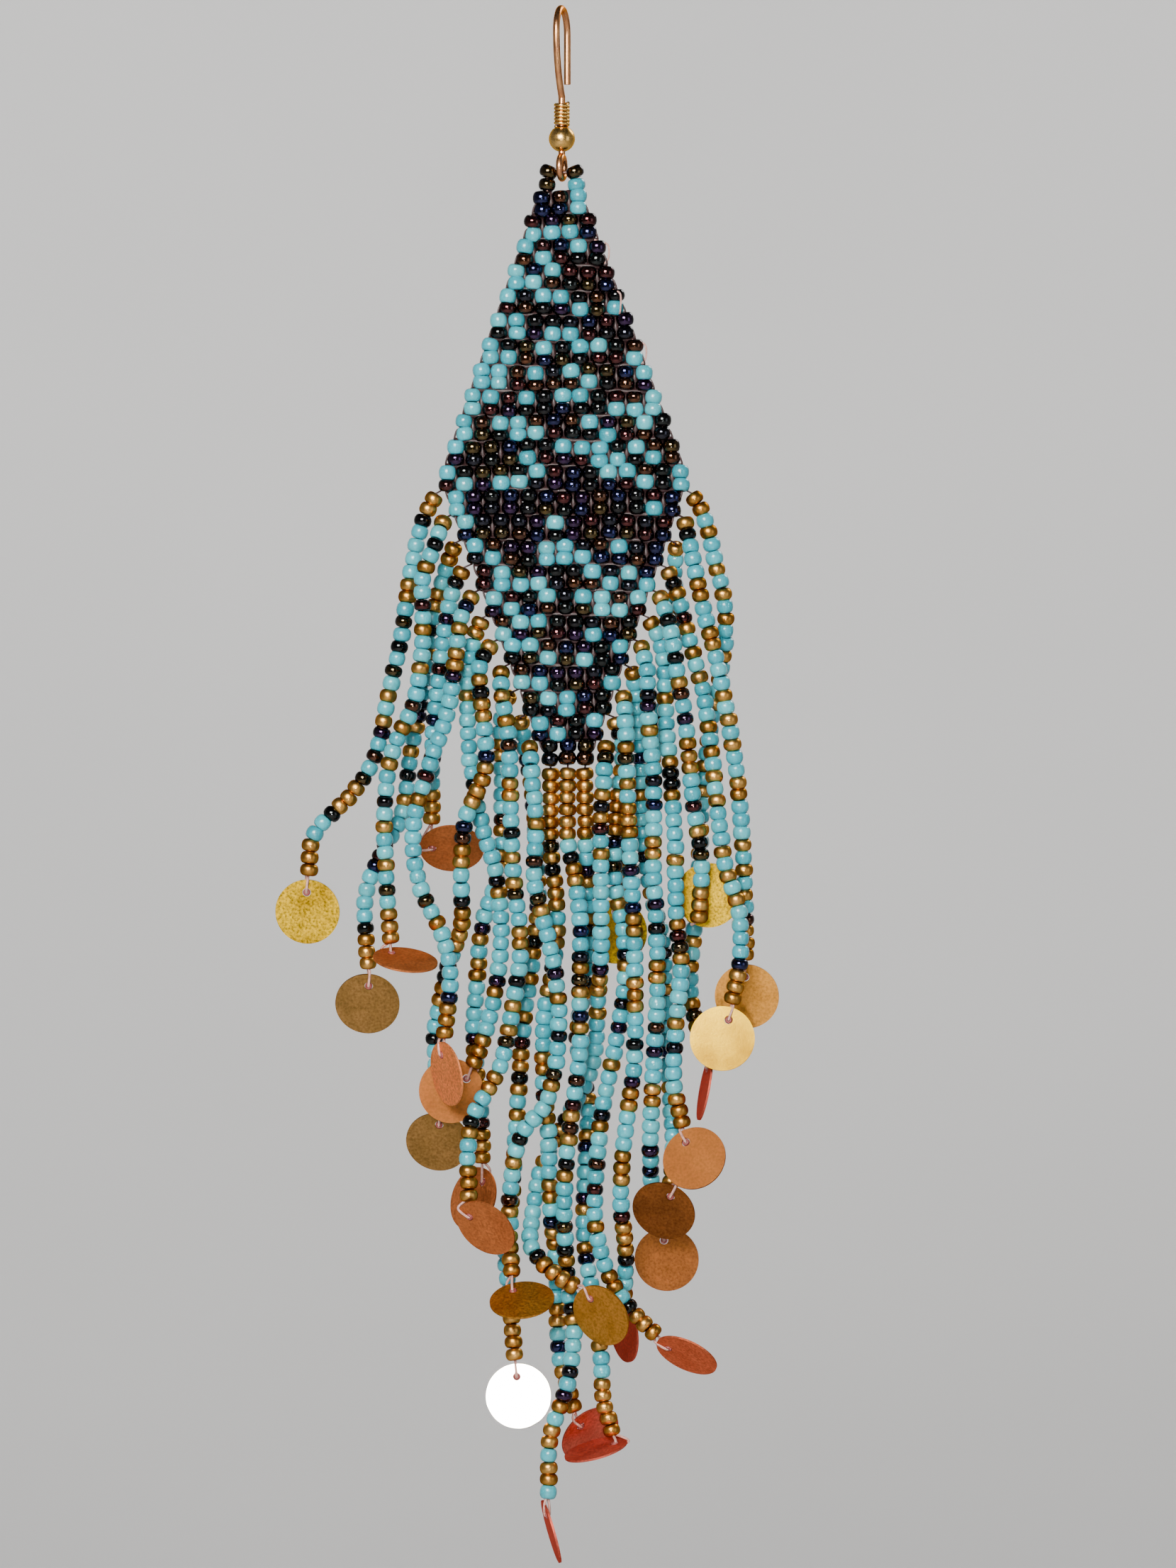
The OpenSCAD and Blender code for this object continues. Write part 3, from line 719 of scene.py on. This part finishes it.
def add_disc_loop(piece, route, disc):
    """The thread from the last bead through the disc's hole and round its rim, and a knot in the hole."""
    inside_bead = 0.3
    off_rim = 0.2
    off_face = 0.3
    above_hole = 0.2
    way, face, hole, foot, down = disc_place(route, disc)
    start = foot - inside_bead * down
    rim = hole - (DISC_RADIUS - DISC_HOLE_R + off_rim) * way
    front = hole + off_face * face - above_hole * way
    back = hole - off_face * face - above_hole * way
    add_tube(piece, smooth([start, front, hole, back, rim, start], steps=6), LOOP_R)
    side, other = axes(face)
    knot = BEAD_VERTS @ np.array([side * KNOT_R, other * KNOT_R, face * KNOT_H])
    piece.add(knot + hole, BEAD_FACES, THREAD_SLOT, KNOT_TINT)


def build_strand(name, route, disc, edge, seed):
    """A strand's beads, the thread from the panel's edge through them, and its disc's loop."""
    thread_skip = 5
    rng = random.Random(seed)
    piece = Piece()
    curve = smooth(route)
    lengths = lengths_along(curve)
    kinds = word_of(name, round(lengths[-1] / BEAD_STEP))
    string_beads(piece, rng, kinds, curve, lengths)
    thread = [edge] + [tuple(p) for p in curve[::thread_skip]]
    add_tube(piece, thread, THREAD_R, tint=STITCH_AND_SHADE_TINT)
    add_disc_loop(piece, route, disc)
    slot = "beads_turquoise" if kinds.count("T") >= kinds.count("G") else "beads_bronze"
    finish_piece(piece, "beads_" + name, BEAD_MATERIALS, "drop", "strand_" + name)


def build_strands():
    """The strands of the left edge, the right edge and the panel's foot."""
    below_brick = 0.4
    seed = FIRST_STRAND_SEED
    for side, (routes, discs) in FRINGE.items():
        for j, (route, disc) in enumerate(zip(routes, discs)):
            k = LAST_ROW if side == "c" else WIDEST_ROW + j
            brick = {"l": 0, "r": bricks(k) - 1, "c": j}[side]
            edge = (brick_x(k, brick), 0, row_z(k) - below_brick * BRICK_H)
            build_strand(side + str(j + 1), route, disc, edge, seed)
            seed += 1


# Ear wire, coil, ball and discs
def build_coil():
    """The fine wire wound round the shank."""
    steps = 24
    radius = (COIL_D - COIL_WIRE) / 2
    points = []
    for s in range(steps * (COIL_TURNS - 1) + steps // 2):
        angle = math.tau * s / steps
        points.append((WIRE_X + radius * math.cos(angle), radius * math.sin(angle),
                       COIL_TOP - COIL_WIRE / 2 - COIL_PITCH * s / steps))
    piece = Piece()
    add_tube(piece, points, COIL_WIRE / 2, sides=10, slot=0)
    finish_piece(piece, "wound_coil", [FITTING_GOLD], "ear_wire", "coil")


def dress(node, mat):
    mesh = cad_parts[node].data
    mesh.materials.clear()
    mesh.materials.append(mat)


def dress_metal():
    dress("ear_wire", WIRE_GOLD_AND_RED_REFLECTION)
    dress("ball", FITTING_GOLD)
    for finish, discs in DISC_FINISH.items():
        for disc in discs:
            dress("disc_" + disc, SHEET[finish])


# Studio, in metres
MIDDLE = (0.003, 0, -0.091)
WHITE = (1, 1, 1)
WIDE_OPEN = 180

# Soft light from near the camera, a card that the face-on disc mirrors, and light on the rim and the wall.
# Each has its place, target, size, power in watts, colour, and spread in degrees.
LIGHTS = {
    "key": ((-0.14, -0.62, 0.13), MIDDLE, (0.32, 0.2), 8.8, (1, 0.97, 0.92), WIDE_OPEN),
    "fill": ((0.6, -0.45, -0.05), MIDDLE, (0.3, 0.4), 0.6, (0.92, 0.96, 1), WIDE_OPEN),
    "card": ((-0.02, -0.95, -0.254), (-0.006, 0, -0.16), (0.07, 0.05), 0.6, WHITE, 30),
    "rim": ((0.3, 0.3, 0.25), MIDDLE, (0.2, 0.2), 1.2, WHITE, WIDE_OPEN),
    "wall": ((0, 0.7, 0.55), (0, 1.4, 0.05), (1.2, 0.2), 10.0, WHITE, WIDE_OPEN),
}
SKY_COLOUR = (0.75, 0.78, 0.82, 1)
SKY_STRENGTH = 0.055


def aim(obj, target):
    obj.rotation_euler = (Vector(target) - Vector(obj.location)).to_track_quat("-Z", "Y").to_euler()


def build_light(name, place, target, size, power, colour, spread):
    light = bpy.data.lights.new(name, "AREA")
    light.spread = math.radians(spread)
    light.shape = "RECTANGLE"
    light.size, light.size_y = size
    light.energy = power
    light.color = colour
    obj = bpy.data.objects.new(name, light)
    obj.location = place
    aim(obj, target)
    bpy.context.scene.collection.objects.link(obj)


def build_lights():
    world = bpy.data.worlds.new("studio")
    bpy.context.scene.world = world
    world.use_nodes = True
    background = world.node_tree.nodes["Background"]
    background.inputs["Color"].default_value = SKY_COLOUR
    background.inputs["Strength"].default_value = SKY_STRENGTH
    for name, light in LIGHTS.items():
        build_light(name, *light)


def build_camera():
    """The camera looks straight ahead, at a picture of a known height and middle at the object."""
    picture_x = 0.002875
    picture_z = -0.09075
    picture_h = 0.18433
    distance = 0.7
    cam = bpy.data.cameras.new("camera")
    cam.sensor_fit = "VERTICAL"
    cam.sensor_height = 36
    cam.lens = cam.sensor_height * distance / picture_h
    cam.clip_start = 0.01
    cam.clip_end = 20
    camera = bpy.data.objects.new("camera", cam)
    camera.location = (picture_x, -distance, picture_z)
    camera.rotation_euler = (math.pi / 2, 0, 0)
    bpy.context.scene.collection.objects.link(camera)
    bpy.context.scene.camera = camera


def floor_line():
    """The floor from near its middle outwards, then up its bend and its wall, as (radius, height)."""
    floor_z = -0.32
    wall_r = 1.4
    wall_top = 1.5
    bend_r = 0.8
    flat_step = 0.2
    flat_rings = 3
    bend_step = 10
    line = [(flat_step * s, floor_z) for s in range(1, flat_rings + 1)]
    for angle in range(bend_step, 90 + bend_step, bend_step):
        a = math.radians(angle)
        line.append((wall_r - bend_r + bend_r * math.sin(a), floor_z + bend_r * (1 - math.cos(a))))
    return line + [(wall_r, wall_top)]


def turned(line, sides):
    """The vertices and faces of a line of (radius, height) turned about Z, closed at the middle."""
    verts = [(0, 0, line[0][1])]
    for r, z in line:
        verts += [(r * math.cos(math.tau * s / sides), r * math.sin(math.tau * s / sides), z)
                  for s in range(sides)]
    faces = [(0, 1 + s, 1 + (s + 1) % sides) for s in range(sides)]
    for ring in range(len(line) - 1):
        low = 1 + ring * sides
        for s in range(sides):
            t = (s + 1) % sides
            faces.append((low + s, low + sides + s, low + sides + t, low + t))
    return verts, faces


def build_floor():
    """A pale round floor that curves up into a wall on every side."""
    verts, faces = turned(floor_line(), sides=64)
    mesh = bpy.data.meshes.new("floor")
    mesh.from_pydata(verts, [], faces)
    mesh.polygons.foreach_set("use_smooth", [True] * len(mesh.polygons))
    floor = bpy.data.objects.new("floor", mesh)
    bpy.context.scene.collection.objects.link(floor)
    finish = Finish("floor_pale", {"Roughness": 0.8})
    finish.feed("Base Color", finish.blend(finish.noise(3.0), (0.51, 0.505, 0.5), (0.55, 0.545, 0.54)))
    mesh.materials.append(finish.mat)


build_camera()
build_floor()
build_lights()
build_panel()
build_loop()
build_strands()
build_coil()
dress_metal()
